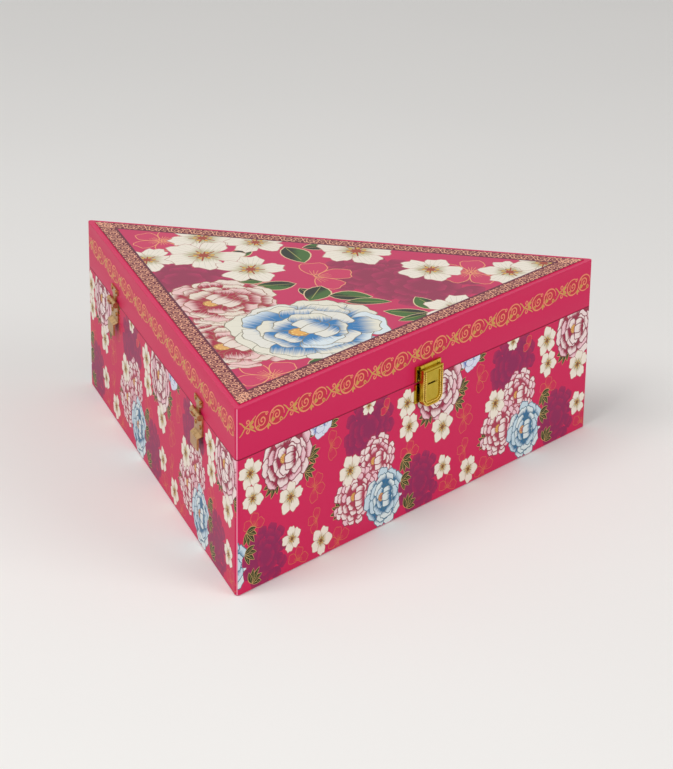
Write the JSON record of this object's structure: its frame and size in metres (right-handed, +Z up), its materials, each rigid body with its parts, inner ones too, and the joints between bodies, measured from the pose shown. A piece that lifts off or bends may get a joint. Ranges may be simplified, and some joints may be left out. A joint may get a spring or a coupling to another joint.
{
  "type": "jar gift box",
  "caption": "Triangular hinged gift box in floral printed paper, with a flap catch and a satin-covered insert with round jar wells.",
  "frame": {"origin": "middle of the triangular bottom, on the face that the box rests on", "axes": "+Z up; -Y is the outward side of the side with the catch, which runs along X; the hinged side faces -X and +Y"},
  "size_m": [0.228, 0.2015, 0.08],
  "materials": {
    "fibreboard": "matte",
    "bottom_paper": "matte",
    "printed_top_paper": "satin",
    "printed_side_paper": "satin",
    "printed_lid_paper": "satin",
    "lining_paper": "satin",
    "satin_cloth": "satin",
    "satin_faced_foam": "satin",
    "foam": "matte",
    "plated_nails": "satin",
    "hinge_metal": "satin",
    "catch_metal": "polished"
  },
  "bodies": {
    "base": {"base_bottom_paper": "bottom_paper", "base_bottom_panel": "fibreboard", "base_wrap_paper": "printed_side_paper", "base_lining_paper": "lining_paper", "floor_pad": "satin_faced_foam", "jar_insert": "foam", "insert_satin_cover": "satin_cloth", "base_front_wall": "fibreboard", "base_left_wall": "fibreboard", "base_right_wall": "fibreboard", "rear_hinge_base_leaf": "hinge_metal", "rear_hinge_pin": "hinge_metal", "front_hinge_base_leaf": "hinge_metal", "front_hinge_pin": "hinge_metal", "hinge_base_nails": "plated_nails", "catch_keeper": "catch_metal", "catch_keeper_nails": "plated_nails"},
    "lid": {"lid_top_panel": "fibreboard", "lid_wrap_paper": "printed_lid_paper", "lid_top_print": "printed_top_paper", "lid_lining_paper": "lining_paper", "lid_pad": "foam", "lid_pad_satin_cover": "satin_cloth", "lid_front_wall": "fibreboard", "lid_left_wall": "fibreboard", "lid_right_wall": "fibreboard", "rear_hinge_lid_leaf": "hinge_metal", "front_hinge_lid_leaf": "hinge_metal", "hinge_lid_nails": "plated_nails", "catch_plate": "catch_metal", "catch_pin": "catch_metal", "catch_plate_nails": "plated_nails"},
    "catch_flap": {"catch_flap": "catch_metal"}
  },
  "joints": [
    {"name": "lid_hinge", "type": "hinge", "parent": "base", "child": "lid", "pos_m": [-0.05876, 0.03392, 0.0583], "axis": [-0.5, -0.866, 0], "range_deg": [0, 95]},
    {"name": "catch_flap_hinge", "type": "hinge", "parent": "lid", "child": "catch_flap", "pos_m": [0, -0.06764, 0.0644], "axis": [-1, 0, 0], "range_deg": [0, 120]}
  ]
}
